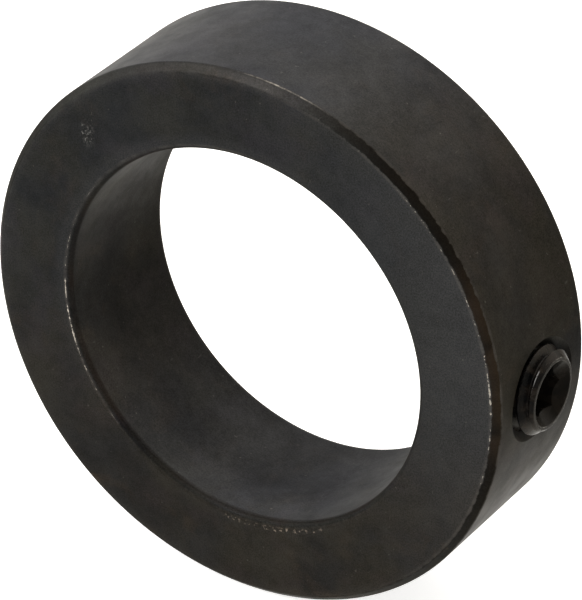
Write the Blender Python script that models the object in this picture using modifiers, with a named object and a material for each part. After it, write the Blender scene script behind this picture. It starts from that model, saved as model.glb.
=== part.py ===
"""Set-screw shaft collar: a solid steel ring with a hex-socket set screw in a tapped radial hole.

Units are metres and +Z is up. The origin is the centre of the bore, at half the ring's width.
The bore runs along Y, with the front face at -Y, and the set screw lies on the X axis, head at +X.

The ring is one piece and so is the set screw. The screw turns and advances at the same time, so its
unthreaded cup point is an object of its own: it carries the advance, and the threaded body turns on it.
"""

import math

import bmesh
import bpy

INCH = 0.0254
MM = 0.001

# Ring: a standard collar for a 2-1/4 inch shaft.
BORE_DIAMETER = 2.25 * INCH
OUTER_DIAMETER = 3.25 * INCH
RING_WIDTH = 15 / 16 * INCH
OUTER_CHAMFER = 1.05 * MM
BORE_EDGE_ROUND = 1.25 * MM  # radius of the two edges of the bore
BORE_EDGE_STEPS = 4

# Thread of the screw and of its hole: 1/2-13 UNC, right-hand.
THREAD_DIAMETER = 0.5 * INCH
PITCH = INCH / 13
THREAD_DEPTH = 0.6134 * PITCH
CREST_FLAT = PITCH / 8
FLANK_SLOPE = math.tan(math.radians(30))
CREST_AT_FRONT = 41.05 * MM  # X where a crest of the screw faces -Y
THREAD_CLEARANCE = 0.3 * MM  # radial, between the screw and its hole

# Set screw, placed as it stands when it is clear of the shaft.
SCREW_LENGTH = 0.5 * INCH
SCREW_STANDS_PROUD = 1.7 * MM
RIM_RADIUS = 5.25 * MM  # flat end, out to its 45 degree chamfer
CUP_RADIUS = 3.55 * MM  # end of the 45 degree point
CUP_EDGE = 0.2 * MM
CUP_FLOOR_RADIUS = 1.2 * MM
CUP_DEPTH = 1.0 * MM
POINT_HEIGHT = 1.45 * MM
PIECE_GAP = 0.3 * MM  # between the cup point and the threaded body

# Hex socket and the countersink at its mouth.
SOCKET_ACROSS_FLATS = 0.25 * INCH
SOCKET_DEPTH = 6.0 * MM
SOCKET_MOUTH_RADIUS = 4.75 * MM

# Countersink of the tapped hole: 90 degrees, measured where the ring is highest.
HOLE_MOUTH_RADIUS = 8.05 * MM

RING_SEGMENTS = 96
THREAD_SEGMENTS = 36
SHARP_ANGLE = math.radians(30)

BORE_RADIUS = BORE_DIAMETER / 2
OUTER_RADIUS = OUTER_DIAMETER / 2
THREAD_RADIUS = THREAD_DIAMETER / 2
HEAD_X = OUTER_RADIUS + SCREW_STANDS_PROUD
TIP_X = HEAD_X - SCREW_LENGTH
OVERCUT = 1.0 * MM  # how far a cutter runs past what it cuts
WELD = 0.001 * MM

FACE_ALONG_Y = (math.radians(90), 0, 0)  # turns local +Z to the ring's front, -Y
HEAD_ALONG_X = (0, math.radians(90), 0)  # turns local +Z to the screw's head, +X


def clear_scene():
    """Remove every object that is already in the scene."""
    for old in list(bpy.data.objects):
        bpy.data.objects.remove(old)


def collection(name):
    """A new collection in the scene."""
    made = bpy.data.collections.new(name)
    bpy.context.scene.collection.children.link(made)
    return made


def steel(name, colour, roughness):
    """Black-oxide steel of the given colour and roughness."""
    made = bpy.data.materials.new(name)
    made.use_nodes = True
    shader = made.node_tree.nodes["Principled BSDF"]
    shader.inputs["Base Color"].default_value = (*colour, 1)
    shader.inputs["Metallic"].default_value = 0.8
    shader.inputs["Roughness"].default_value = roughness
    return made


def swept_mesh(name, outline, segments, closed=False, pitch=0.0, turns=1):
    """Mesh of an outline of (radius, height) points swept about Z: turned, or a helix if it has a pitch."""
    edges = [(i, i + 1) for i in range(len(outline) - 1)]
    if closed:
        edges.append((len(outline) - 1, 0))
    line = bpy.data.meshes.new(name + "_outline")
    line.from_pydata([(radius, 0, height) for radius, height in outline], edges, [])
    profile = bpy.data.objects.new(name + "_outline", line)
    bpy.context.scene.collection.objects.link(profile)
    sweep = profile.modifiers.new("Sweep", "SCREW")
    sweep.axis = "Z"
    sweep.steps = segments
    sweep.render_steps = segments
    sweep.screw_offset = pitch
    sweep.iterations = turns
    sweep.use_merge_vertices = True
    sweep.merge_threshold = WELD
    evaluated = profile.evaluated_get(bpy.context.evaluated_depsgraph_get())
    swept = bpy.data.meshes.new_from_object(evaluated)
    swept.name = name
    bpy.data.objects.remove(profile)
    bpy.data.meshes.remove(line)
    return swept


def placed(name, mesh, turn, home, material=None):
    """Object that shows a mesh in a collection. Without a material it is a cutter."""
    made = bpy.data.objects.new(name, mesh)
    made.rotation_euler = turn
    home.objects.link(made)
    if material:
        mesh.materials.clear()
        mesh.materials.append(material)
        mesh.shade_smooth()
        mesh.set_sharp_from_angle(angle=SHARP_ANGLE)
    else:
        made.hide_render = True
        made.display_type = "WIRE"
    return made


def cut(target, cutter, operation="DIFFERENCE"):
    """Add a Boolean modifier that applies the cutter to the target."""
    boolean = target.modifiers.new(cutter.name, "BOOLEAN")
    boolean.operation = operation
    boolean.solver = "EXACT"
    boolean.object = cutter


def thread_mesh(name, radius, low, high):
    """Closed rod with a right-hand thread from low to high on Z, and ends that are still ragged."""
    depth = THREAD_DEPTH
    flank = depth * FLANK_SLOPE
    crest_at_start = CREST_AT_FRONT - 0.75 * PITCH  # the front is three quarters of a turn round
    turns_below = math.ceil((crest_at_start - low) / PITCH) + 1
    first_crest = crest_at_start - turns_below * PITCH
    turns = math.ceil((high - first_crest) / PITCH) + 1
    outline = [
        (radius, first_crest + PITCH - CREST_FLAT / 2),
        (radius - depth, first_crest + PITCH - CREST_FLAT / 2 - flank),
        (radius - depth, first_crest + CREST_FLAT / 2 + flank),
        (radius, first_crest + CREST_FLAT / 2),
        (radius, first_crest - CREST_FLAT / 2),
    ]
    mesh = swept_mesh(name, outline, THREAD_SEGMENTS, pitch=PITCH, turns=turns)
    shell = bmesh.new()
    shell.from_mesh(mesh)
    bmesh.ops.remove_doubles(shell, verts=shell.verts, dist=WELD)
    open_edges = [edge for edge in shell.edges if edge.is_boundary]
    ends = bmesh.ops.edgeloop_fill(shell, edges=open_edges)["faces"]
    bmesh.ops.poke(shell, faces=ends)
    bmesh.ops.recalc_face_normals(shell, faces=shell.faces)
    if shell.calc_volume(signed=True) < 0:
        bmesh.ops.reverse_faces(shell, faces=shell.faces)
    shell.to_mesh(mesh)
    shell.free()
    return mesh


def make_tap(cutters):
    """Cutter for the thread of the hole, from the bore out through the rim."""
    low = BORE_RADIUS - 2 * OVERCUT
    high = OUTER_RADIUS + OVERCUT
    mesh = thread_mesh("tap", THREAD_RADIUS + THREAD_CLEARANCE, low, high)
    return placed("tap", mesh, HEAD_ALONG_X, cutters)


def make_hole_countersink(cutters):
    """Cutter for the wide mouth of the tapped hole."""
    outline = [
        (0, OUTER_RADIUS + OVERCUT),
        (HOLE_MOUTH_RADIUS + OVERCUT, OUTER_RADIUS + OVERCUT),
        (0, OUTER_RADIUS - HOLE_MOUTH_RADIUS),
    ]
    mesh = swept_mesh("hole_countersink", outline, THREAD_SEGMENTS)
    return placed("hole_countersink", mesh, HEAD_ALONG_X, cutters)


def rounded_bore_edge(half):
    """Points of the bore's front edge, from the face to the bore's wall."""
    points = []
    for step in range(BORE_EDGE_STEPS + 1):
        angle = math.radians(90) * step / BORE_EDGE_STEPS
        radius = BORE_RADIUS + BORE_EDGE_ROUND * (1 - math.sin(angle))
        points.append((radius, half - BORE_EDGE_ROUND * (1 - math.cos(angle))))
    return points


def make_ring(home, cutters, material):
    """The collar's ring: turned, chamfered outside, rounded at the bore, and tapped through one wall."""
    half = RING_WIDTH / 2
    edge = rounded_bore_edge(half)
    outline = [
        (OUTER_RADIUS - OUTER_CHAMFER, half),
        (OUTER_RADIUS, half - OUTER_CHAMFER),
        (OUTER_RADIUS, OUTER_CHAMFER - half),
        (OUTER_RADIUS - OUTER_CHAMFER, -half),
        *[(radius, -height) for radius, height in edge],
        *reversed(edge),
    ]
    mesh = swept_mesh("collar_ring", outline, RING_SEGMENTS, closed=True)
    ring = placed("collar_ring", mesh, FACE_ALONG_Y, home, material)
    cut(ring, make_tap(cutters))
    cut(ring, make_hole_countersink(cutters))
    return ring


def make_screw_blank(cutters):
    """Turned outline of the threaded body: chamfered head, start of the 45 degree point."""
    radius = THREAD_RADIUS + OVERCUT
    low = TIP_X + POINT_HEIGHT + PIECE_GAP
    low_radius = CUP_RADIUS + low - TIP_X
    outline = [
        (0, HEAD_X),
        (RIM_RADIUS, HEAD_X),
        (radius, HEAD_X - (radius - RIM_RADIUS)),
        (radius, low + (radius - low_radius)),
        (low_radius, low),
        (0, low),
    ]
    mesh = swept_mesh("screw_blank", outline, 2 * THREAD_SEGMENTS)
    return placed("screw_blank", mesh, HEAD_ALONG_X, cutters)


def make_hex_socket(cutters):
    """Cutter for the hexagonal socket, with two flats facing up and down."""
    corner_radius = SOCKET_ACROSS_FLATS / 2 / math.cos(math.radians(30))
    length = SOCKET_DEPTH + OVERCUT
    mesh = bpy.data.meshes.new("hex_socket")
    prism = bmesh.new()
    bmesh.ops.create_cone(
        prism, cap_ends=True, segments=6, radius1=corner_radius, radius2=corner_radius, depth=length
    )
    bmesh.ops.translate(prism, verts=prism.verts, vec=(0, 0, HEAD_X + OVERCUT - length / 2))
    prism.to_mesh(mesh)
    prism.free()
    return placed("hex_socket", mesh, HEAD_ALONG_X, cutters)


def make_socket_countersink(cutters):
    """Cutter for the 90 degree cone that leads a key into the socket."""
    outline = [
        (0, HEAD_X + OVERCUT),
        (SOCKET_MOUTH_RADIUS + OVERCUT, HEAD_X + OVERCUT),
        (0, HEAD_X - SOCKET_MOUTH_RADIUS),
    ]
    mesh = swept_mesh("socket_countersink", outline, THREAD_SEGMENTS)
    return placed("socket_countersink", mesh, HEAD_ALONG_X, cutters)


def make_set_screw(home, cutters, material):
    """The screw's threaded body with its socket. Its origin is on the axis that it turns about."""
    low = TIP_X + POINT_HEIGHT
    mesh = thread_mesh("set_screw", THREAD_RADIUS, low, HEAD_X)
    screw = placed("set_screw", mesh, HEAD_ALONG_X, home, material)
    cut(screw, make_screw_blank(cutters), "INTERSECT")
    cut(screw, make_hex_socket(cutters))
    cut(screw, make_socket_countersink(cutters))
    return screw


def make_cup_point(home, material):
    """The screw's unthreaded nose, whose cup-shaped end bites into the shaft."""
    top = TIP_X + POINT_HEIGHT
    outline = [
        (0, top),
        (CUP_RADIUS + POINT_HEIGHT, top),
        (CUP_RADIUS, TIP_X),
        (CUP_RADIUS - CUP_EDGE, TIP_X),
        (CUP_FLOOR_RADIUS, TIP_X + CUP_DEPTH),
        (0, TIP_X + CUP_DEPTH),
    ]
    mesh = swept_mesh("set_screw_cup_point", outline, THREAD_SEGMENTS)
    return placed("set_screw_cup_point", mesh, HEAD_ALONG_X, home, material)


def main():
    """Build the collar."""
    clear_scene()
    home = collection("shaft_collar")
    cutters = collection("cutters")
    ring_steel = steel("ring_black_oxide", (0.045, 0.044, 0.042), 0.42)
    screw_steel = steel("screw_black_oxide", (0.020, 0.020, 0.021), 0.36)
    make_ring(home, cutters, ring_steel)
    make_set_screw(home, cutters, screw_steel)
    make_cup_point(home, screw_steel)


main()
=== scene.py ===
"""Looks of the set-screw shaft collar: a black-oxide steel ring and its hex-socket set screw.

Units are metres and +Z is up. The origin is the centre of the bore, at half the ring's width. The bore
runs along Y, with the front face at -Y, and the set screw lies on the X axis, with its head at +X.
"""

import math
from collections import namedtuple

import bmesh
import bpy
from mathutils import Matrix, Vector


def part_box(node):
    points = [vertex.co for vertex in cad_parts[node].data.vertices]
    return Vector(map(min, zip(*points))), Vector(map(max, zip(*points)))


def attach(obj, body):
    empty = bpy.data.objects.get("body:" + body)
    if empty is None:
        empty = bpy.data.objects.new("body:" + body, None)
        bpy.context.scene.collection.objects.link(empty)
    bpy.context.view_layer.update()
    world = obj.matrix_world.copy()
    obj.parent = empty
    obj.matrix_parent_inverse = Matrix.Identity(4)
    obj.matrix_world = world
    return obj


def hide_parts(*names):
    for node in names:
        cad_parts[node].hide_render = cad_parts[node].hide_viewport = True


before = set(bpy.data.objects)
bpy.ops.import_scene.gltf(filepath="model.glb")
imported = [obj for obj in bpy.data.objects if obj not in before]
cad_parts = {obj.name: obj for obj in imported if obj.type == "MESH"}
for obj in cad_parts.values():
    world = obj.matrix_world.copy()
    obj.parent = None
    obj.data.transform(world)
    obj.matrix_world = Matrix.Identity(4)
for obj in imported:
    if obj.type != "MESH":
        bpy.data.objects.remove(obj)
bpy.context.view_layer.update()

MM = 0.001
INCH = 0.0254

# Sizes that the frame gives.
RING_LOW, RING_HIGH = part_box("collar_ring")
_, SCREW_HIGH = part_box("set_screw")
POINT_LOW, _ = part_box("set_screw_cup_point")
OUTER_RADIUS = RING_HIGH.z
HALF_WIDTH = RING_HIGH.y
HEAD_X = SCREW_HIGH.x
TIP_X = POINT_LOW.x

# Ring.
BORE_RADIUS = 2.25 * INCH / 2
OUTER_CHAMFER = 1.05 * MM
BORE_EDGE_ROUND = 1.25 * MM  # radius of the two edges of the bore
BORE_EDGE_STEPS = 10
EDGE_EASE = 0.3 * MM  # how far the outer edges are rounded back
EDGE_EASE_STEPS = 4
RING_SEGMENTS = 512
FACE_START = BORE_RADIUS + BORE_EDGE_ROUND  # radius where the faces start
FACE_END = OUTER_RADIUS - OUTER_CHAMFER  # radius where they end
RIM_END = HALF_WIDTH - OUTER_CHAMFER  # distance from the middle where the rim ends

# Thread of the screw and of its hole, right-hand.
THREAD_RADIUS = 0.25 * INCH
PITCH = INCH / 13
THREAD_DEPTH = 0.6134 * PITCH
CREST_FLAT = PITCH / 8
FLANK_SLOPE = math.tan(math.radians(30))
THREAD_EASE = 0.07 * MM
THREAD_EASE_STEPS = 3
CREST_AT_FRONT = 41.05 * MM  # X where a crest of the screw faces -Y
TAP_CLEARANCE = 0.15 * MM
THREAD_SEGMENTS = 96

# Set screw.
RIM_RADIUS = 5.2 * MM
RIM_EASE = 0.1 * MM
RIM_EASE_STEPS = 3
CUP_RADIUS = 3.55 * MM
CUP_EDGE = 0.2 * MM
CUP_FLOOR_RADIUS = 1.2 * MM
CUP_DEPTH = 1.0 * MM
SOCKET_ACROSS_FLATS = 0.25 * INCH
SOCKET_DEPTH = 6.0 * MM
SOCKET_DRILL_RADIUS = 3.0 * MM
DRILL_TIP_SLOPE = math.tan(math.radians(30))
SOCKET_MOUTH_RADIUS = 4.75 * MM
RUN_OUT_RADIUS = 5.84 * MM  # where the thread runs out in the head's chamfer

# Countersink of the tapped hole, measured where the ring is highest.
HOLE_MOUTH_RADIUS = 8.05 * MM

OVERCUT = 1.0 * MM  # how far a cutter runs past what it cuts
WELD = 0.0005 * MM
SHARP_ANGLE = math.radians(24)

# Camera, as it looks at the centre of the bore.
CAMERA_AZIMUTH = math.radians(32.12)  # from -Y towards +X
CAMERA_ELEVATION = math.radians(31.18)
CAMERA_ROLL = math.radians(0.80)
CAMERA_DISTANCE = 651.1 * MM
CAMERA_RIGHT = 0.72 * MM
CAMERA_UP = 0.39 * MM
CAMERA_LENS = 279.6
CAMERA_NEAR = 0.01
CAMERA_FAR = 50

# Studio light: direction it comes from, half angle in degrees, and colour.
AMBIENT_LIGHT = (0.18, 0.165, 0.13)
SOFT_LIGHTS = (
    ((-0.45, -0.52, 0.73), 45, (1.45, 1.36, 1.24)),
    ((-0.45, -0.62, 0.64), 7, (18.0, 17.0, 15.8)),
    ((-0.10, 0.20, 0.97), 40, (1.25, 1.17, 1.06)),
    ((0.15, 0.73, 0.66), 40, (0.60, 0.58, 0.55)),
    ((-0.45, 0.73, 0.52), 45, (0.60, 0.60, 0.66)),
    ((0.60, 0.73, 0.33), 40, (0.48, 0.44, 0.38)),
    ((-0.93, -0.20, 0.30), 40, (0.70, 0.73, 0.68)),
    ((-0.70, 0.70, 0.00), 35, (0.22, 0.22, 0.22)),
    ((-0.45, 0.73, -0.52), 40, (0.82, 0.80, 0.77)),
    ((0.02, 0.73, -0.69), 40, (0.27, 0.265, 0.26)),
    ((0.15, 0.20, -0.95), 40, (0.40, 0.39, 0.35)),
    ((-0.45, -0.73, -0.52), 40, (0.43, 0.44, 0.44)),
    ((0.20, -0.91, -0.36), 15, (1.58, 1.50, 1.45)),
)
FLOOR_GLOW = 0.75
FLOOR_CLOUD_SCALE = 3
FLOOR_RADIUS = 3.0
WALL_HEIGHT = 1.0
WALL_STEPS = 8
FLOOR_SEGMENTS = 48

# Middle of a scuff on the front face.
SCUFF_X = -25.2 * MM
SCUFF_Z = 24.7 * MM
SCUFF_PROPORTION = 0.55  # its width as a share of its height

# Wear of the ring's edges: how far it reaches at most.
FACE_EDGE_WEAR = 0.30 * MM
RIM_EDGE_WEAR = 0.09 * MM
BORE_EDGE_WEAR = 0.18 * MM
WEAR_BORDER = 0.06 * MM  # width of the change from oxide to bare steel
CHAMFER_RAGGEDNESS = 0.10 * MM

# Directions in the ring's plane, as shares of X and Z.
TOWARDS_SCREW = (0.94, 0.34)
OPPOSITE_SCREW = (-0.99, -0.14)
TOWARDS_UPPER_LEFT = (-0.50, 0.87)

# Turned lines on the ring, as their radius and their distance from the ring's middle.
FACE_EDGE = (FACE_END, HALF_WIDTH)
CHAMFER_MIDDLE = (OUTER_RADIUS - OUTER_CHAMFER / 2, HALF_WIDTH - OUTER_CHAMFER / 2)
WORN_FACE_EDGE = (FACE_END - 0.10 * MM, HALF_WIDTH)
WORN_RIM_EDGE = (OUTER_RADIUS, RIM_END)
RUBBED_RIM_EDGE = (OUTER_RADIUS - 0.02 * MM, RIM_END - 0.05 * MM)
WORN_BORE_EDGE = (BORE_RADIUS + 0.6 * BORE_EDGE_ROUND, HALF_WIDTH - 0.08 * BORE_EDGE_ROUND)
DULL_BORE_EDGE = (BORE_RADIUS + 0.3 * BORE_EDGE_ROUND, HALF_WIDTH - 0.35 * BORE_EDGE_ROUND)
BROWN_BORE_EDGE = (BORE_RADIUS + 0.12 * BORE_EDGE_ROUND, HALF_WIDTH - 0.6 * BORE_EDGE_ROUND)
FLAKED_BORE_EDGE = (FACE_START, HALF_WIDTH)

# Where the ring's areas and marks fade in or out. Each is a stretch from one place to another, along
# the axis in its name, along the radius, away from a turned line or in one of the directions above.
FACE_Y = (HALF_WIDTH - 0.3 * MM, HALF_WIDTH)
FRONT_FACE_Y = (-HALF_WIDTH, -HALF_WIDTH + 0.3 * MM)
RIM_RADII = (OUTER_RADIUS - 1.0 * MM, OUTER_RADIUS - 0.2 * MM)
BORE_RADII = (BORE_RADIUS + 0.1 * MM, BORE_RADIUS + 0.8 * MM)
CHAMFER_REACH = (0.58 * MM, 0.74 * MM)
RUST_REACH = (0.3 * MM, 1.2 * MM)
# Painted light: the faces grow lighter towards the screw.
FACE_LIGHT_BY_SCREW = (8 * MM, 44 * MM)
FACE_GREY_BY_BORE_RADII = (FACE_START, BORE_RADIUS + 3.2 * MM)
FACE_GREY_BY_BORE_Z = (-20 * MM, 0)
RUBBED_RIM_RADII = (OUTER_RADIUS - 2.6 * MM, FACE_END)
WARM_FACE_Z = (-26 * MM, 2 * MM)
WARM_RIM_X = (6 * MM, 34 * MM)
WARM_BORE_X = (-26 * MM, -14 * MM)
SCUFF_REACH = (0.2 * MM, 1.6 * MM)
# Painted highlight on the bore's wall towards the front, and painted shade towards its back.
BORE_HIGHLIGHT_Y = (-9.5 * MM, -1.5 * MM)
BORE_BACK_SHADE_Y = (0, 11 * MM)
# Painted shade on the outer chamfers: low on the ring, and on the screw's side.
LOW_CHAMFER_SHADE_Z = (5 * MM, 36 * MM)
SIDE_CHAMFER_SHADE_X = (5 * MM, 24 * MM)
SIDE_CHAMFER_SHADE_Z = (-27 * MM, -15 * MM)
# Painted shade on the rim, towards its back and the screw's side.
RIM_SHADE_X = (22 * MM, 40 * MM)
RIM_SHADE_Y = (-5 * MM, 8 * MM)
DULL_BORE_EDGE_REACH = (0.30 * MM, 0.55 * MM)
DULL_BORE_EDGE_Z = (-24 * MM, -12 * MM)
TAN_CHAMFER_X = (2 * MM, 14 * MM)
TAN_CHAMFER_Z = (22 * MM, 38 * MM)
RUSTY_CHAMFER_X = (31 * MM, 37 * MM)
RUSTY_CHAMFER_Z = (-8 * MM, -1 * MM)
BROWN_BORE_EDGE_REACH = (0.30 * MM, 0.60 * MM)
RUBBED_LINE_REACH = (0.04 * MM, 0.17 * MM)
RUBBED_LINE_START_X = (-3 * MM, 6 * MM)
RUBBED_LINE_END_X = (8 * MM, 13 * MM)
RUBBED_LINE_Z = (20 * MM, 30 * MM)
WORN_BY_SCREW = (31 * MM, 36 * MM)
WORN_OPPOSITE_SCREW = (18 * MM, 29 * MM)
# Where the painted highlight along the edges lies.
EDGE_HIGHLIGHT_REACH = (0.05 * MM, 0.42 * MM)
EDGE_HIGHLIGHT_X = (-5 * MM, 30 * MM)
EDGE_HIGHLIGHT_Z = (-34 * MM, -12 * MM)
EDGE_HIGHLIGHT_UPPER_LEFT = (18 * MM, 27 * MM)
FLAKES_REACH = (0.10 * MM, 0.50 * MM)
FLAKES_START_X = (-4 * MM, 0)
FLAKES_END_X = (12 * MM, 17 * MM)
FLAKES_Z = (-29 * MM, -20 * MM)

# The same for the screw, whose radius is the one about its own axis.
CREST_RADII = (THREAD_RADIUS - 0.14 * MM, THREAD_RADIUS - 0.03 * MM)
SOCKET_RADII = (SOCKET_MOUTH_RADIUS - 0.12 * MM, SOCKET_MOUTH_RADIUS)
HEAD_RIM_X = (HEAD_X - 0.06 * MM, HEAD_X - 0.02 * MM)
HEAD_WEAR_REACH = (0.04 * MM, 0.13 * MM)
RUN_OUT_X = HEAD_X - (RUN_OUT_RADIUS - RIM_RADIUS)
# Painted glint on the upper left of the rubbed edge where the thread runs out.
RUN_OUT_GLINT_REACH = (0.05 * MM, 0.16 * MM)
RUN_OUT_GLINT_Y = (-3.6 * MM, -2.6 * MM)
RUN_OUT_GLINT_Z = (2.4 * MM, 3.3 * MM)

# Colours of the ring.
BLUE_BLACK = (0.0038, 0.0045, 0.0057, 1)
OLIVE_BLACK = (0.0096, 0.0093, 0.0070, 1)
TAN_RUST = (0.024, 0.017, 0.011, 1)
VIOLET = (0.0125, 0.0108, 0.0138, 1)
# Grey of the painted light on the faces, and of their greyer band by the bore and rubbed rim.
LIGHT_AND_RUB_GREY = (0.0195, 0.0197, 0.0197, 1)
COOL_OIL = (0.93, 0.95, 1.0, 1)
WARM_OIL = (1.0, 0.895, 0.78, 1)
SPECK = (0.09, 0.085, 0.075, 1)
SCRATCH = (0.06, 0.058, 0.054, 1)
SCUFF = (0.10, 0.10, 0.097, 1)
CHAMFER_TAN = (0.026, 0.020, 0.014, 1)
# Painted shade on the outer chamfers.
CHAMFER_SHADE = (0.0040, 0.0033, 0.0024, 1)
CHAMFER_RUST = (0.0185, 0.0118, 0.0065, 1)
BORE_EDGE_BROWN = (0.012, 0.0080, 0.006, 1)
# Painted highlight along the edges.
EDGE_HIGHLIGHT_GREY = (0.062, 0.057, 0.052, 1)
FLAKED_OXIDE = (0.17, 0.14, 0.115, 1)
BARE_STEEL = (0.55, 0.52, 0.47, 1)

# Colours of the set screw.
SCREW_BLACK = (0.0035, 0.0036, 0.0042, 1)
SCREW_BROWN = (0.0150, 0.0115, 0.0090, 1)
SCREW_RIM_GREY = (0.032, 0.031, 0.028, 1)
# Grey of the painted glint where the thread runs out.
SCREW_GLINT = (0.30, 0.30, 0.31, 1)
SCREW_BARE = (0.35, 0.34, 0.32, 1)
# Painted shade inside the socket.
SOCKET_SHADE = (0.0052, 0.0046, 0.0036, 1)

# Noise patterns of the two steels. A scale is the number of cells to a metre.
RING_PATTERNS = {
    "cloud": {"scale": 60, "detail": 5, "roughness": 0.6, "distortion": 0.3},
    "rust": {"scale": 150, "detail": 5, "roughness": 0.65, "distortion": 0.5},
    "tint": {"scale": 105, "detail": 4, "roughness": 0.6, "distortion": 0.3},
    "grain": {"scale": 4200, "detail": 3, "roughness": 0.7},
    "specks": {"scale": 1500, "detail": 2, "roughness": 0.5},
    "streaks": {"scale": 1900, "detail": 4, "roughness": 0.7, "distortion": 1.5},
    "gloss": {"scale": 85, "detail": 5, "roughness": 0.7, "distortion": 0.3},
    "ragged": {"scale": 700, "detail": 3, "roughness": 0.6},
    "stain": {"scale": 110, "detail": 3, "roughness": 0.6},
    "chips": {"scale": 900, "detail": 4, "roughness": 0.7},
    "patches": {"scale": 75, "detail": 3, "roughness": 0.6},
    "flakes": {"scale": 2000, "detail": 3, "roughness": 0.6},
    "sheen": {"scale": 260, "detail": 4, "roughness": 0.6},
}
SCREW_PATTERNS = {
    "cloud": {"scale": 350, "detail": 4, "roughness": 0.6, "distortion": 0.5},
    "grain": {"scale": 3000, "detail": 2, "roughness": 0.6},
    "chips": {"scale": 1100, "detail": 4, "roughness": 0.65},
    "patches": {"scale": 260, "detail": 2, "roughness": 0.5},
}
SCRATCH_SCALE = 420
SCRATCH_SQUEEZE = 6  # how much finer the scratches are along X
TURNING_SCALE = 3200
TURNING_STRETCH = 0.004  # how little the turning marks change on the way round
RING_BUMP_HEIGHT = 0.010 * MM
SCREW_BUMP_HEIGHT = 0.008 * MM


# Shapes ------------------------------------------------------------------------------------------


def along_bore(radius, height, angle):
    """Point of a shape turned about the bore's axis."""
    return Vector((radius * math.cos(angle), height, radius * math.sin(angle)))


def along_screw(radius, height, angle):
    """Point of a shape turned about the screw's axis. Angles start at -Z and go round by +Y."""
    return Vector((height, radius * math.sin(angle), -radius * math.cos(angle)))


def eased(before, corner, after, setback, steps):
    """Points that round off a corner between two others."""
    start = corner + (before - corner).normalized() * setback
    end = corner + (after - corner).normalized() * setback
    points = []
    for step in range(steps + 1):
        share = step / steps
        points.append(start * (1 - share) ** 2 + corner * 2 * share * (1 - share) + end * share**2)
    return points


def finished(name, shell):
    """Object of a closed mesh, with its doubles merged and its faces turned outwards."""
    bmesh.ops.remove_doubles(shell, verts=shell.verts, dist=WELD)
    bmesh.ops.recalc_face_normals(shell, faces=shell.faces)
    if shell.calc_volume(signed=True) < 0:
        bmesh.ops.reverse_faces(shell, faces=shell.faces)
    mesh = bpy.data.meshes.new(name)
    shell.to_mesh(mesh)
    shell.free()
    made = bpy.data.objects.new(name, mesh)
    bpy.context.scene.collection.objects.link(made)
    return made


def turned(name, outline, segments, place):
    """Solid of a closed outline of (radius, height) points, turned about an axis."""
    shell = bmesh.new()
    rows = []
    for step in range(segments):
        angle = 2 * math.pi * step / segments
        rows.append([shell.verts.new(place(radius, height, angle)) for radius, height in outline])
    for step in range(segments):
        here = rows[step]
        there = rows[(step + 1) % segments]
        for index in range(len(outline)):
            after = (index + 1) % len(outline)
            shell.faces.new((here[index], here[after], there[after], there[index]))
    return finished(name, shell)


def thread_outline(radius):
    """Rounded outline of one pitch of thread: crest, flank, root, flank."""
    flank = THREAD_DEPTH * FLANK_SLOPE
    one_pitch = Vector((0, PITCH))
    crest_end = Vector((radius, CREST_FLAT / 2))
    root_start = Vector((radius - THREAD_DEPTH, CREST_FLAT / 2 + flank))
    root_end = Vector((radius - THREAD_DEPTH, PITCH - CREST_FLAT / 2 - flank))
    crest_start = Vector((radius, PITCH - CREST_FLAT / 2))
    outline = eased(crest_start - one_pitch, crest_end, root_start, THREAD_EASE, THREAD_EASE_STEPS)
    outline += eased(crest_end, root_start, root_end, THREAD_EASE, THREAD_EASE_STEPS)
    outline += eased(root_start, root_end, crest_start, THREAD_EASE, THREAD_EASE_STEPS)
    outline += eased(root_end, crest_start, crest_end + one_pitch, THREAD_EASE, THREAD_EASE_STEPS)
    return outline


def threaded_rod(name, radius, low, high):
    """Rod with a right-hand thread that covers low to high along the screw's axis, with ragged ends."""
    outline = thread_outline(radius)
    crest_at_start = CREST_AT_FRONT - 0.75 * PITCH  # the front is three quarters of a turn round
    first = crest_at_start - (math.ceil((crest_at_start - low) / PITCH) + 1) * PITCH
    pitches = math.ceil((high - first) / PITCH) + 1
    shell = bmesh.new()
    columns = []
    for step in range(THREAD_SEGMENTS):
        angle = 2 * math.pi * step / THREAD_SEGMENTS
        climb = PITCH * step / THREAD_SEGMENTS
        column = []
        for pitch in range(pitches + 1):
            start = first + pitch * PITCH + climb
            column += [shell.verts.new(along_screw(r, start + height, angle)) for r, height in outline]
        columns.append(column)
    columns.append(columns[0][len(outline) :])
    length = pitches * len(outline)
    for here, there in zip(columns, columns[1:]):
        for index in range(length - 1):
            shell.faces.new((here[index], here[index + 1], there[index + 1], there[index]))
    for vertex in [vertex for vertex in shell.verts if not vertex.link_faces]:
        shell.verts.remove(vertex)
    open_edges = [edge for edge in shell.edges if edge.is_boundary]
    ends = bmesh.ops.edgeloop_fill(shell, edges=open_edges)["faces"]
    bmesh.ops.poke(shell, faces=ends)
    return finished(name, shell)


def hexagonal_prism(name, across_flats, low, high):
    """Prism along the screw's axis, with two flats facing up and down."""
    corner_radius = across_flats / 2 / math.cos(math.radians(30))
    shell = bmesh.new()
    ends = []
    for height in (low, high):
        angles = [math.radians(30 + 60 * corner) for corner in range(6)]
        ends.append([shell.verts.new(along_screw(corner_radius, height, angle)) for angle in angles])
    shell.faces.new(ends[0])
    shell.faces.new(ends[1])
    for corner in range(6):
        after = (corner + 1) % 6
        shell.faces.new((ends[0][corner], ends[0][after], ends[1][after], ends[1][corner]))
    return finished(name, shell)


def carve(target, cutter, operation="DIFFERENCE"):
    """Cut the target with the cutter, and remove the cutter."""
    boolean = target.modifiers.new(cutter.name, "BOOLEAN")
    boolean.operation = operation
    boolean.solver = "EXACT"
    boolean.object = cutter
    keep_modified(target)
    bpy.data.objects.remove(cutter)


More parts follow.
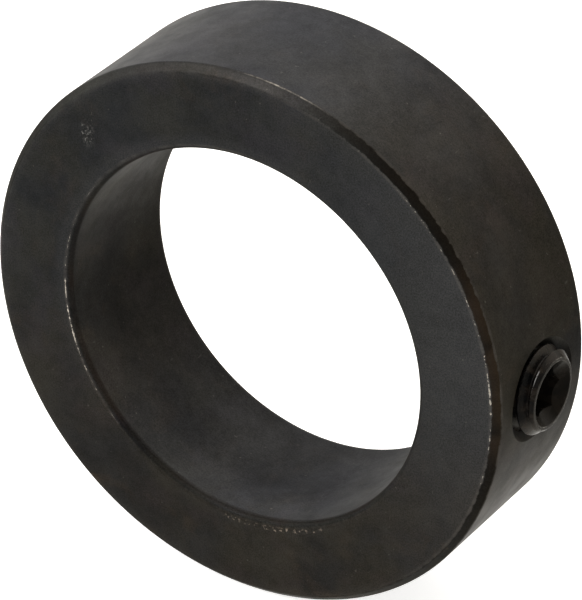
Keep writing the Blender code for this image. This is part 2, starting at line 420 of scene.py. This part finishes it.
def keep_modified(target):
    """Turn the target's modifiers into its mesh."""
    evaluated = target.evaluated_get(bpy.context.evaluated_depsgraph_get())
    mesh = bpy.data.meshes.new_from_object(evaluated)
    target.modifiers.clear()
    target.data = mesh


def dress(piece, material):
    """Smooth shading, with the flat faces kept flat, and the piece's material."""
    piece.data.materials.clear()
    piece.data.materials.append(material)
    piece.data.shade_smooth()
    piece.data.set_sharp_from_angle(angle=SHARP_ANGLE)
    weighted = piece.modifiers.new("Weighted normals", "WEIGHTED_NORMAL")
    weighted.mode = "FACE_AREA"
    weighted.keep_sharp = True
    keep_modified(piece)


def rounded_bore_edge():
    """Points of the bore's back edge, from the bore's wall to the face."""
    points = []
    for step in range(BORE_EDGE_STEPS + 1):
        angle = math.radians(90) * step / BORE_EDGE_STEPS
        radius = BORE_RADIUS + BORE_EDGE_ROUND * (1 - math.cos(angle))
        points.append((radius, HALF_WIDTH - BORE_EDGE_ROUND * (1 - math.sin(angle))))
    return points


def make_ring():
    """The collar's ring: turned, chamfered outside, rounded at the bore, with one tapped hole."""
    face_edge = Vector((FACE_END, HALF_WIDTH))
    rim_edge = Vector((OUTER_RADIUS, RIM_END))
    half = eased(Vector((BORE_RADIUS, HALF_WIDTH)), face_edge, rim_edge, EDGE_EASE, EDGE_EASE_STEPS)
    half += eased(face_edge, rim_edge, Vector((OUTER_RADIUS, 0)), EDGE_EASE, EDGE_EASE_STEPS)
    half = rounded_bore_edge() + half
    outline = half + [(radius, -height) for radius, height in reversed(half)]
    ring = turned("ring", outline, RING_SEGMENTS, along_bore)
    tap_radius = THREAD_RADIUS + TAP_CLEARANCE
    carve(ring, threaded_rod("tap", tap_radius, BORE_RADIUS - 2 * OVERCUT, OUTER_RADIUS + OVERCUT))
    mouth = [
        (0, OUTER_RADIUS + OVERCUT),
        (HOLE_MOUTH_RADIUS + OVERCUT, OUTER_RADIUS + OVERCUT),
        (0, OUTER_RADIUS - HOLE_MOUTH_RADIUS),
    ]
    carve(ring, turned("hole_countersink", mouth, THREAD_SEGMENTS, along_screw))
    return ring


def make_screw():
    """The set screw: threaded, with a chamfered head, a hexagonal socket and a cup point."""
    screw = threaded_rod("set_screw_whole", THREAD_RADIUS, TIP_X, HEAD_X)
    radius = THREAD_RADIUS + OVERCUT
    rim = Vector((RIM_RADIUS, HEAD_X))
    blank = [
        (0, HEAD_X),
        *eased(Vector((0, HEAD_X)), rim, rim + Vector((1, -1)), RIM_EASE, RIM_EASE_STEPS),
        (radius, HEAD_X - (radius - RIM_RADIUS)),
        (radius, TIP_X + (radius - CUP_RADIUS)),
        (CUP_RADIUS, TIP_X),
        (CUP_RADIUS - CUP_EDGE, TIP_X),
        (CUP_FLOOR_RADIUS, TIP_X + CUP_DEPTH),
        (0, TIP_X + CUP_DEPTH),
    ]
    carve(screw, turned("blank", blank, THREAD_SEGMENTS, along_screw), "INTERSECT")
    bottom = HEAD_X - SOCKET_DEPTH
    carve(screw, hexagonal_prism("hexagon", SOCKET_ACROSS_FLATS, bottom, HEAD_X + OVERCUT))
    drill = [
        (0, HEAD_X + OVERCUT),
        (SOCKET_DRILL_RADIUS, HEAD_X + OVERCUT),
        (SOCKET_DRILL_RADIUS, bottom),
        (0, bottom - SOCKET_DRILL_RADIUS * DRILL_TIP_SLOPE),
    ]
    carve(screw, turned("drill", drill, THREAD_SEGMENTS, along_screw))
    mouth = [
        (0, HEAD_X + OVERCUT),
        (SOCKET_MOUTH_RADIUS + OVERCUT, HEAD_X + OVERCUT),
        (0, HEAD_X - SOCKET_MOUTH_RADIUS),
    ]
    carve(screw, turned("socket_countersink", mouth, THREAD_SEGMENTS, along_screw))
    return screw


# Materials ---------------------------------------------------------------------------------------


# Where a point of a surface lies, and the masks of the ring's areas.
Spot = namedtuple("Spot", "place x y z radius")
Areas = namedtuple("Areas", "face rim bore chamfer")


def node(tree, kind, inputs=None, **settings):
    """A node with its settings, whose inputs are set to values or linked to other nodes' outputs."""
    made = tree.nodes.new(kind)
    for name, value in settings.items():
        setattr(made, name, value)
    for name, value in (inputs or {}).items():
        if isinstance(value, bpy.types.NodeSocket):
            tree.links.new(value, made.inputs[name])
        else:
            made.inputs[name].default_value = value
    return made


def calc(tree, operation, *values):
    """Output of a Math node."""
    return node(tree, "ShaderNodeMath", dict(enumerate(values)), operation=operation).outputs[0]


def times(tree, product, *others):
    """Product of several values."""
    for other in others:
        product = calc(tree, "MULTIPLY", product, other)
    return product


def most(tree, largest, *others):
    """Largest of several values."""
    for other in others:
        largest = calc(tree, "MAXIMUM", largest, other)
    return largest


def diagonal(tree, across, along):
    """Length of the diagonal between two lengths at right angles."""
    squares = calc(tree, "ADD", times(tree, across, across), times(tree, along, along))
    return calc(tree, "SQRT", squares)


def noise(tree, vector, scale, detail=3.0, roughness=0.5, distortion=0.0):
    """Output of a Noise Texture, from 0 to 1."""
    inputs = {
        "Vector": vector,
        "Scale": scale,
        "Detail": detail,
        "Roughness": roughness,
        "Distortion": distortion,
    }
    return node(tree, "ShaderNodeTexNoise", inputs).outputs["Fac"]


def noises(tree, vector, patterns):
    """Outputs of several named noise patterns."""
    return {name: noise(tree, vector, **pattern) for name, pattern in patterns.items()}


def ramp(tree, value, low, high, to_low=0.0, to_high=1.0):
    """Value carried smoothly from the range low..high to the range to_low..to_high."""
    inputs = {"Value": value, "From Min": low, "From Max": high, "To Min": to_low, "To Max": to_high}
    made = node(tree, "ShaderNodeMapRange", inputs, interpolation_type="SMOOTHSTEP", clamp=True)
    return made.outputs["Result"]


def blend(tree, share, first, second, mode="MIX"):
    """Colour between two others."""
    inputs = {0: share, 6: first, 7: second}
    return node(tree, "ShaderNodeMix", inputs, data_type="RGBA", blend_type=mode).outputs[2]


def vector_of(tree, x, y, z):
    """Vector of three values."""
    return node(tree, "ShaderNodeCombineXYZ", {"X": x, "Y": y, "Z": z}).outputs[0]


def shaded(tree, colour, shade):
    """Colour made darker or lighter by a single value."""
    return blend(tree, 1.0, colour, vector_of(tree, shade, shade, shade), "MULTIPLY")


def new_material(name):
    """A material, its node tree and its Principled shader."""
    made = bpy.data.materials.new(name)
    made.use_nodes = True
    tree = made.node_tree
    return made, tree, tree.nodes["Principled BSDF"]


def object_place(tree):
    """The point's place on the piece."""
    return node(tree, "ShaderNodeTexCoord").outputs["Object"]


def spot_about(tree, axis):
    """The point's place on the piece, its three distances, and its radius about the named axis."""
    place = object_place(tree)
    split = node(tree, "ShaderNodeSeparateXYZ", {"Vector": place}).outputs
    across, along = (split[name] for name in "XYZ" if name != axis)
    return Spot(place, split["X"], split["Y"], split["Z"], diagonal(tree, across, along))


def distance_to_edge(tree, radius, height, edge_radius, edge_height):
    """Straight distance from a turned edge."""
    across = calc(tree, "SUBTRACT", radius, edge_radius)
    along = calc(tree, "SUBTRACT", height, edge_height)
    return diagonal(tree, across, along)


# Ring steel --------------------------------------------------------------------------------------


def distance_from_line(tree, spot, line):
    """Distance from a turned line of the ring, alike on its front and on its back."""
    depth = calc(tree, "ABSOLUTE", spot.y)
    return distance_to_edge(tree, spot.radius, depth, *line)


def distance_along(tree, spot, direction):
    """How far the point lies from the bore's axis in a direction of the ring's plane."""
    share_x, share_z = direction
    return calc(tree, "ADD", times(tree, spot.x, share_x), times(tree, spot.z, share_z))


def ring_areas(tree, spot, ragged):
    """Masks of the faces, the rim, the bore and the outer chamfers, whose borders are ragged."""
    depth = calc(tree, "ABSOLUTE", spot.y)
    face = ramp(tree, depth, *FACE_Y)
    rim = ramp(tree, spot.radius, *RIM_RADII)
    bore = ramp(tree, spot.radius, *BORE_RADII, 1, 0)
    shift = ramp(tree, ragged, 0.35, 0.65, -CHAMFER_RAGGEDNESS, CHAMFER_RAGGEDNESS)
    away = calc(tree, "ADD", distance_from_line(tree, spot, CHAMFER_MIDDLE), shift)
    chamfer = ramp(tree, away, *CHAMFER_REACH, 1, 0)
    return Areas(face, rim, bore, chamfer)


def ring_oxide(tree, spot, pattern):
    """Colour of the oxide: blue-black and olive clouds, with rust along the outer edge and violet tints."""
    colour = blend(tree, ramp(tree, pattern["cloud"], 0.39, 0.61), BLUE_BLACK, OLIVE_BLACK)
    by_edge = ramp(tree, distance_from_line(tree, spot, FACE_EDGE), *RUST_REACH, 0.9, 0.32)
    rusty = times(tree, ramp(tree, pattern["rust"], 0.52, 0.70), by_edge)
    colour = blend(tree, rusty, colour, TAN_RUST)
    return blend(tree, ramp(tree, pattern["tint"], 0.50, 0.66, 0, 0.5), colour, VIOLET)


def light_and_rub_faces(tree, spot, face, colour):
    """Colour with the faces painted lighter towards the screw, greyer near the bore, and rubbed along the
    rim.
    """
    by_screw = ramp(tree, distance_along(tree, spot, TOWARDS_SCREW), *FACE_LIGHT_BY_SCREW, 0, 0.9)
    by_bore = ramp(tree, spot.radius, *FACE_GREY_BY_BORE_RADII, 0.45, 0)
    by_bore = times(tree, by_bore, ramp(tree, spot.z, *FACE_GREY_BY_BORE_Z, 0.35, 1))
    by_rim = ramp(tree, spot.radius, *RUBBED_RIM_RADII, 0, 0.40)
    # Painted light towards the screw, with the grey by the bore and the rubbed rim.
    rubbed = times(tree, face, most(tree, by_screw, by_bore, by_rim))
    return blend(tree, rubbed, colour, LIGHT_AND_RUB_GREY)


def oil_tint(tree, spot, areas, tint):
    """Tint of the oil film: warm low on the faces, on the rim near the screw and in the bore opposite."""
    low_face = times(tree, areas.face, ramp(tree, spot.z, *WARM_FACE_Z, 1, 0))
    near_rim = times(tree, areas.rim, ramp(tree, spot.x, *WARM_RIM_X))
    far_bore = times(tree, areas.bore, ramp(tree, spot.x, *WARM_BORE_X, 0.6, 0))
    patchy = ramp(tree, tint, 0.35, 0.60, 0.65, 1)
    warm = times(tree, most(tree, low_face, near_rim, far_bore), patchy)
    return blend(tree, warm, COOL_OIL, WARM_OIL)


def add_specks_and_scratches(tree, spot, specks, colour):
    """Colour with pale specks and fine scratches."""
    colour = blend(tree, ramp(tree, specks, 0.71, 0.79, 0, 0.6), colour, SPECK)
    squeezed = vector_of(tree, times(tree, spot.x, SCRATCH_SQUEEZE), spot.y, spot.z)
    scratches = noise(tree, squeezed, SCRATCH_SCALE, detail=2, roughness=0.4)
    return blend(tree, ramp(tree, scratches, 0.74, 0.80, 0, 0.5), colour, SCRATCH)


def add_scuff(tree, spot, streaks, colour):
    """Colour with a small scuff near the front face's outer edge."""
    across = calc(tree, "SUBTRACT", spot.x, SCUFF_X)
    along = times(tree, calc(tree, "SUBTRACT", spot.z, SCUFF_Z), SCUFF_PROPORTION)
    scuffed = times(
        tree,
        ramp(tree, diagonal(tree, across, along), *SCUFF_REACH, 1, 0),
        ramp(tree, streaks, 0.51, 0.64),
        ramp(tree, spot.y, *FRONT_FACE_Y, 1, 0),
    )
    return blend(tree, scuffed, colour, SCUFF)


def painted_bore_light(tree, spot, bore):
    """Shade of the bore's wall: painted light at the front and painted shade at the back, and 1 elsewhere.
    """
    front_highlight = ramp(tree, spot.y, *BORE_HIGHLIGHT_Y, 1.35, 0.80)
    wall = times(tree, front_highlight, ramp(tree, spot.y, *BORE_BACK_SHADE_Y, 1, 0.84))
    return calc(tree, "ADD", times(tree, bore, calc(tree, "SUBTRACT", wall, 1)), 1)


def chamfer_shade(tree, spot, chamfer):
    """Masks of the outer chamfers' painted shade: weak low on the ring, and strong on the screw's side."""
    low = times(tree, chamfer, ramp(tree, spot.z, *LOW_CHAMFER_SHADE_Z, 0.4, 0))
    side = times(tree, chamfer, ramp(tree, spot.x, *SIDE_CHAMFER_SHADE_X), ramp(tree, spot.z, *SIDE_CHAMFER_SHADE_Z))
    return low, side


def ring_gloss(tree, spot, pattern, chamfer):
    """Gloss: patchy, cut by painted shade on the chamfers and the rim's back, and dull on the bore's low
    edge.
    """
    # Painted shade on the outer chamfers, as lowered gloss.
    low_shade, side_shade = chamfer_shade(tree, spot, chamfer)
    # Painted shade on the rim's back, as lowered gloss.
    rim_shade = times(tree, ramp(tree, spot.x, *RIM_SHADE_X, 0, 0.52), ramp(tree, spot.y, *RIM_SHADE_Y))
    low_edge = times(
        tree,
        ramp(tree, distance_from_line(tree, spot, DULL_BORE_EDGE), *DULL_BORE_EDGE_REACH, 0.6, 0),
        ramp(tree, spot.z, *DULL_BORE_EDGE_Z, 1, 0),
    )
    darkening = most(tree, low_shade, times(tree, side_shade, 0.5), rim_shade, low_edge)
    return times(
        tree,
        ramp(tree, pattern["gloss"], 0.32, 0.68, 0.23, 0.37),
        ramp(tree, pattern["ragged"], 0.3, 0.7, 0.90, 1.10),
        ramp(tree, pattern["grain"], 0.3, 0.7, 0.80, 1.20),
        calc(tree, "SUBTRACT", 1, darkening),
    )


def shade_and_stain_chamfers(tree, spot, stain, chamfer, colour):
    """Colour with the outer chamfers tan at the top, painted shade below, tinted with rust by the screw."""
    upper = times(
        tree,
        chamfer,
        ramp(tree, spot.z, *TAN_CHAMFER_Z),
        ramp(tree, spot.x, *TAN_CHAMFER_X, 0.25, 0),
    )
    colour = blend(tree, upper, colour, CHAMFER_TAN)
    rusty = times(
        tree,
        ramp(tree, stain, 0.38, 0.58),
        ramp(tree, spot.x, *RUSTY_CHAMFER_X),
        ramp(tree, spot.z, *RUSTY_CHAMFER_Z),
    )
    # Painted shade, tinted with rust next to the screw.
    darkening = blend(tree, rusty, CHAMFER_SHADE, CHAMFER_RUST)
    low_shade, side_shade = chamfer_shade(tree, spot, chamfer)
    return blend(tree, most(tree, low_shade, times(tree, side_shade, 0.85)), colour, darkening)


def stain_bore_edge(tree, spot, stain, colour):
    """Colour with a patchy brown line round the bore's edges."""
    away = distance_from_line(tree, spot, BROWN_BORE_EDGE)
    near = ramp(tree, away, *BROWN_BORE_EDGE_REACH, 1, 0)
    stained = times(tree, near, ramp(tree, stain, 0.42, 0.62, 0.2, 0.7))
    return blend(tree, stained, colour, BORE_EDGE_BROWN)


def rubbed_line(tree, spot, chips):
    """Mask of the bright line where the rim's edge is rubbed at the top of the ring."""
    return times(
        tree,
        ramp(tree, distance_from_line(tree, spot, RUBBED_RIM_EDGE), *RUBBED_LINE_REACH, 0.6, 0),
        ramp(tree, spot.x, *RUBBED_LINE_START_X),
        ramp(tree, spot.x, *RUBBED_LINE_END_X, 1, 0),
        ramp(tree, spot.z, *RUBBED_LINE_Z),
        ramp(tree, chips, 0.38, 0.58, 0.15, 1),
    )


def wear_and_edge_highlight(tree, spot, pattern, chamfer):
    """Masks of bare metal on the edges, outside by the screw, inside opposite, and of a painted highlight.
    """
    outer_highlight_side = times(
        tree,
        ramp(tree, spot.x, *EDGE_HIGHLIGHT_X, 0.25, 1),
        ramp(tree, spot.z, *EDGE_HIGHLIGHT_Z, 0.15, 1),
    )
    by_screw = ramp(tree, distance_along(tree, spot, TOWARDS_SCREW), *WORN_BY_SCREW, 0.03, 1)
    opposite = ramp(tree, distance_along(tree, spot, OPPOSITE_SCREW), *WORN_OPPOSITE_SCREW, 0.06, 1)
    upper_left_highlight = distance_along(tree, spot, TOWARDS_UPPER_LEFT)
    upper_left_highlight = ramp(tree, upper_left_highlight, *EDGE_HIGHLIGHT_UPPER_LEFT, 0, 0.75)
    bore_highlight_side = most(tree, opposite, upper_left_highlight)
    edges = (
        (WORN_FACE_EDGE, FACE_EDGE_WEAR, by_screw, outer_highlight_side),
        (WORN_RIM_EDGE, RIM_EDGE_WEAR, by_screw, outer_highlight_side),
        (WORN_BORE_EDGE, BORE_EDGE_WEAR, opposite, bore_highlight_side),
    )
    reach = times(
        tree,
        ramp(tree, pattern["chips"], 0.43, 0.68),
        ramp(tree, pattern["patches"], 0.40, 0.60, 0.30, 1),
    )
    bare = [rubbed_line(tree, spot, pattern["chips"])]
    # Painted highlight along the edges, as a lighter grey.
    edge_highlight = []
    for line, wear, bare_side, highlight_side in edges:
        away = distance_from_line(tree, spot, line)
        past = calc(tree, "SUBTRACT", times(tree, reach, bare_side, wear), away)
        bare.append(ramp(tree, past, 0, WEAR_BORDER))
        near = ramp(tree, away, *EDGE_HIGHLIGHT_REACH, 0.48, 0)
        edge_highlight.append(times(tree, near, highlight_side))
    uneven = ramp(tree, pattern["ragged"], 0.35, 0.60, 0.3, 1)
    off_chamfer = calc(tree, "SUBTRACT", 1, chamfer)
    return most(tree, *bare), times(tree, most(tree, *edge_highlight), uneven, off_chamfer)


def flaked_edge(tree, spot, pattern):
    """Mask of the small flakes that the oxide has lost low on the bore's edges."""
    return times(
        tree,
        ramp(tree, distance_from_line(tree, spot, FLAKED_BORE_EDGE), *FLAKES_REACH, 1, 0),
        ramp(tree, pattern["flakes"], 0.55, 0.63),
        ramp(tree, pattern["patches"], 0.44, 0.54),
        ramp(tree, spot.z, *FLAKES_Z, 1, 0),
        ramp(tree, spot.x, *FLAKES_START_X),
        ramp(tree, spot.x, *FLAKES_END_X, 1, 0),
    )


def ring_bump(tree, spot, grain):
    """Turning marks, which run round the bore over the faces and the rim, and a fine grain."""
    round_x = times(tree, calc(tree, "DIVIDE", spot.x, spot.radius), TURNING_STRETCH)
    round_z = times(tree, calc(tree, "DIVIDE", spot.z, spot.radius), TURNING_STRETCH)
    level = calc(tree, "ADD", spot.radius, times(tree, spot.y, 0.7))
    turning = vector_of(tree, round_x, round_z, level)
    marks = noise(tree, turning, TURNING_SCALE, detail=3, roughness=0.6)
    bumps = calc(tree, "ADD", times(tree, marks, 0.5), times(tree, grain, 0.3))
    inputs = {"Strength": 1.0, "Distance": RING_BUMP_HEIGHT, "Height": bumps}
    return node(tree, "ShaderNodeBump", inputs).outputs["Normal"]


def ring_material():
    """Black oxide over turned steel: mottled, with turning marks, worn bright at its edges, and painted
    light.
    """
    material, tree, shader = new_material("ring_black_oxide")
    spot = spot_about(tree, "Y")
    pattern = noises(tree, spot.place, RING_PATTERNS)
    areas = ring_areas(tree, spot, pattern["ragged"])
    oiled = oil_tint(tree, spot, areas, pattern["tint"])
    shade = painted_bore_light(tree, spot, areas.bore)
    bare, edge_highlight = wear_and_edge_highlight(tree, spot, pattern, areas.chamfer)

    colour = ring_oxide(tree, spot, pattern)
    # Painted light on the faces towards the screw.
    colour = light_and_rub_faces(tree, spot, areas.face, colour)
    colour = blend(tree, 1.0, colour, oiled, "MULTIPLY")
    colour = shaded(tree, colour, ramp(tree, pattern["grain"], 0.3, 0.7, 0.45, 1.55))
    colour = add_specks_and_scratches(tree, spot, pattern["specks"], colour)
    colour = add_scuff(tree, spot, pattern["streaks"], colour)
    # Painted light and shade on the bore's wall.
    colour = shaded(tree, colour, shade)
    colour = shade_and_stain_chamfers(tree, spot, pattern["stain"], areas.chamfer, colour)
    colour = stain_bore_edge(tree, spot, pattern["stain"], colour)
    # Painted highlight along the edges.
    colour = blend(tree, edge_highlight, colour, EDGE_HIGHLIGHT_GREY)
    colour = blend(tree, flaked_edge(tree, spot, pattern), colour, FLAKED_OXIDE)
    colour = blend(tree, bare, colour, BARE_STEEL)

    # The gloss carries the same painted light and shade on the bore's wall.
    gloss = times(tree, ring_gloss(tree, spot, pattern, areas.chamfer), shade)
    roughness = ramp(tree, pattern["sheen"], 0.3, 0.7, 0.38, 0.46)
    roughness = calc(tree, "ADD", roughness, times(tree, bare, -0.15))
    roughness = calc(tree, "ADD", roughness, times(tree, areas.bore, 0.08))

    tree.links.new(colour, shader.inputs["Base Color"])
    tree.links.new(bare, shader.inputs["Metallic"])
    tree.links.new(roughness, shader.inputs["Roughness"])
    tree.links.new(ring_bump(tree, spot, pattern["grain"]), shader.inputs["Normal"])
    tree.links.new(gloss, shader.inputs["Specular IOR Level"])
    tree.links.new(oiled, shader.inputs["Specular Tint"])
    return material


# Screw steel -------------------------------------------------------------------------------------


def screw_wear(tree, spot, pattern):
    """Mask of bare metal on the thread's crests and on the rim's two edges."""
    crest = ramp(tree, spot.radius, *CREST_RADII, 0, 0.25)
    outer = distance_to_edge(tree, spot.radius, spot.x, RIM_RADIUS, HEAD_X)
    inner = distance_to_edge(tree, spot.radius, spot.x, SOCKET_MOUTH_RADIUS, HEAD_X)
    rim_edges = ramp(tree, calc(tree, "MINIMUM", outer, inner), *HEAD_WEAR_REACH, 1, 0)
    return times(
        tree,
        most(tree, crest, rim_edges),
        ramp(tree, pattern["chips"], 0.48, 0.66),
        ramp(tree, pattern["patches"], 0.50, 0.64, 0.05, 0.65),
    )


def run_out_glint(tree, spot, chips):
    """Mask of a painted glint on the upper left of the rubbed edge where the thread runs out."""
    away = distance_to_edge(tree, spot.radius, spot.x, RUN_OUT_RADIUS, RUN_OUT_X)
    return times(
        tree,
        ramp(tree, away, *RUN_OUT_GLINT_REACH, 1, 0),
        ramp(tree, spot.y, *RUN_OUT_GLINT_Y, 1, 0),
        ramp(tree, spot.z, *RUN_OUT_GLINT_Z),
        ramp(tree, chips, 0.36, 0.52),
    )


def screw_material():
    """Oiled black oxide on hardened steel, bright rubs on thread and rim, a painted glint and painted
    socket shade.
    """
    material, tree, shader = new_material("screw_black_oxide")
    spot = spot_about(tree, "X")
    pattern = noises(tree, spot.place, SCREW_PATTERNS)
    bare = screw_wear(tree, spot, pattern)
    in_socket = ramp(tree, spot.radius, *SOCKET_RADII, 1, 0)
    on_rim = ramp(tree, spot.x, *HEAD_RIM_X, 0, 0.5)

    colour = blend(tree, ramp(tree, pattern["cloud"], 0.38, 0.66), SCREW_BLACK, SCREW_BROWN)
    colour = blend(tree, on_rim, colour, SCREW_RIM_GREY)
    # Painted glint where the thread runs out.
    colour = blend(tree, run_out_glint(tree, spot, pattern["chips"]), colour, SCREW_GLINT)
    colour = blend(tree, bare, colour, SCREW_BARE)
    # Painted shade inside the socket: darker colour and less gloss.
    colour = blend(tree, times(tree, in_socket, 0.6), colour, SOCKET_SHADE)
    gloss = calc(tree, "SUBTRACT", 0.22, times(tree, in_socket, 0.12))
    roughness = ramp(tree, pattern["cloud"], 0.35, 0.65, 0.12, 0.34)
    inputs = {"Strength": 1.0, "Distance": SCREW_BUMP_HEIGHT, "Height": pattern["grain"]}
    bump = node(tree, "ShaderNodeBump", inputs).outputs["Normal"]

    tree.links.new(colour, shader.inputs["Base Color"])
    tree.links.new(bare, shader.inputs["Metallic"])
    tree.links.new(roughness, shader.inputs["Roughness"])
    tree.links.new(bump, shader.inputs["Normal"])
    tree.links.new(gloss, shader.inputs["Specular IOR Level"])
    return material


# Studio ------------------------------------------------------------------------------------------


def floor_material():
    """Pale, evenly lit paper."""
    material, tree, shader = new_material("floor_paper")
    tone = ramp(tree, noise(tree, object_place(tree), FLOOR_CLOUD_SCALE, detail=2), 0.3, 0.7, 0.92, 0.95)
    tree.links.new(vector_of(tree, tone, tone, tone), shader.inputs["Base Color"])
    shader.inputs["Roughness"].default_value = 1.0
    shader.inputs["Specular IOR Level"].default_value = 0.0
    shader.inputs["Emission Color"].default_value = (1, 1, 1, 1)
    shader.inputs["Emission Strength"].default_value = FLOOR_GLOW
    return material


def make_floor():
    """The floor that the ring stands on. Far away on all sides it sweeps up into a low wall."""
    level = RING_LOW.z
    profile = [(0, level), (FLOOR_RADIUS, level)]
    for step in range(1, WALL_STEPS + 1):
        angle = math.radians(90) * step / WALL_STEPS
        radius = FLOOR_RADIUS + WALL_HEIGHT * math.sin(angle)
        profile.append((radius, level + WALL_HEIGHT * (1 - math.cos(angle))))
    shell = bmesh.new()
    rows = []
    for step in range(FLOOR_SEGMENTS):
        angle = 2 * math.pi * step / FLOOR_SEGMENTS
        rows.append([shell.verts.new((r * math.cos(angle), r * math.sin(angle), h)) for r, h in profile])
    for here, there in zip(rows, rows[1:] + rows[:1]):
        for index in range(len(profile) - 1):
            shell.faces.new((here[index], here[index + 1], there[index + 1], there[index]))
    bmesh.ops.remove_doubles(shell, verts=shell.verts, dist=WELD)
    mesh = bpy.data.meshes.new("floor")
    shell.to_mesh(mesh)
    shell.free()
    mesh.shade_smooth()
    mesh.materials.append(floor_material())
    floor = bpy.data.objects.new("floor", mesh)
    bpy.context.scene.collection.objects.link(floor)
    floor.visible_glossy = False  # the steel mirrors the soft lights below it instead


def glow(tree, ahead, direction, spread, colour):
    """Light of a round soft patch of the studio: full at its middle and nothing past its spread."""
    inputs = {0: ahead, 1: Vector(direction).normalized()}
    facing = node(tree, "ShaderNodeVectorMath", inputs, operation="DOT_PRODUCT").outputs["Value"]
    share = ramp(tree, facing, math.cos(math.radians(spread)), 1)
    inputs = {0: colour, "Scale": share}
    return node(tree, "ShaderNodeVectorMath", inputs, operation="SCALE").outputs["Vector"]


def make_surroundings():
    """A studio of dim, even light with round soft lights in it."""
    world = bpy.data.worlds.new("studio")
    bpy.context.scene.world = world
    world.use_nodes = True
    tree = world.node_tree
    ahead = node(tree, "ShaderNodeTexCoord").outputs["Generated"]
    light = vector_of(tree, *AMBIENT_LIGHT)
    for direction, spread, colour in SOFT_LIGHTS:
        patch = glow(tree, ahead, direction, spread, colour)
        light = node(tree, "ShaderNodeVectorMath", {0: light, 1: patch}).outputs["Vector"]
    background = tree.nodes["Background"]
    tree.links.new(light, background.inputs["Color"])
    background.inputs["Strength"].default_value = 1.0


def make_camera():
    """The camera, with its view down onto the ring from the front right."""
    back = Vector(
        (
            math.sin(CAMERA_AZIMUTH) * math.cos(CAMERA_ELEVATION),
            -math.cos(CAMERA_AZIMUTH) * math.cos(CAMERA_ELEVATION),
            math.sin(CAMERA_ELEVATION),
        )
    )
    level = Vector((0, 0, 1)).cross(back).normalized()
    right = Matrix.Rotation(CAMERA_ROLL, 3, back) @ level
    up = back.cross(right)
    home = back * CAMERA_DISTANCE + right * CAMERA_RIGHT + up * CAMERA_UP
    lens = bpy.data.cameras.new("camera")
    lens.lens = CAMERA_LENS
    lens.clip_start = CAMERA_NEAR
    lens.clip_end = CAMERA_FAR
    camera = bpy.data.objects.new("camera", lens)
    camera.matrix_world = Matrix.Translation(home) @ Matrix((right, up, back)).transposed().to_4x4()
    bpy.context.scene.collection.objects.link(camera)
    bpy.context.scene.camera = camera


make_camera()
make_floor()
make_surroundings()

ring = make_ring()
dress(ring, ring_material())
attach(ring, "collar")
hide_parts("collar_ring")

screw = make_screw()
dress(screw, screw_material())
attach(screw, "screw")
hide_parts("set_screw", "set_screw_cup_point")

bpy.context.scene.view_settings.view_transform = "Standard"
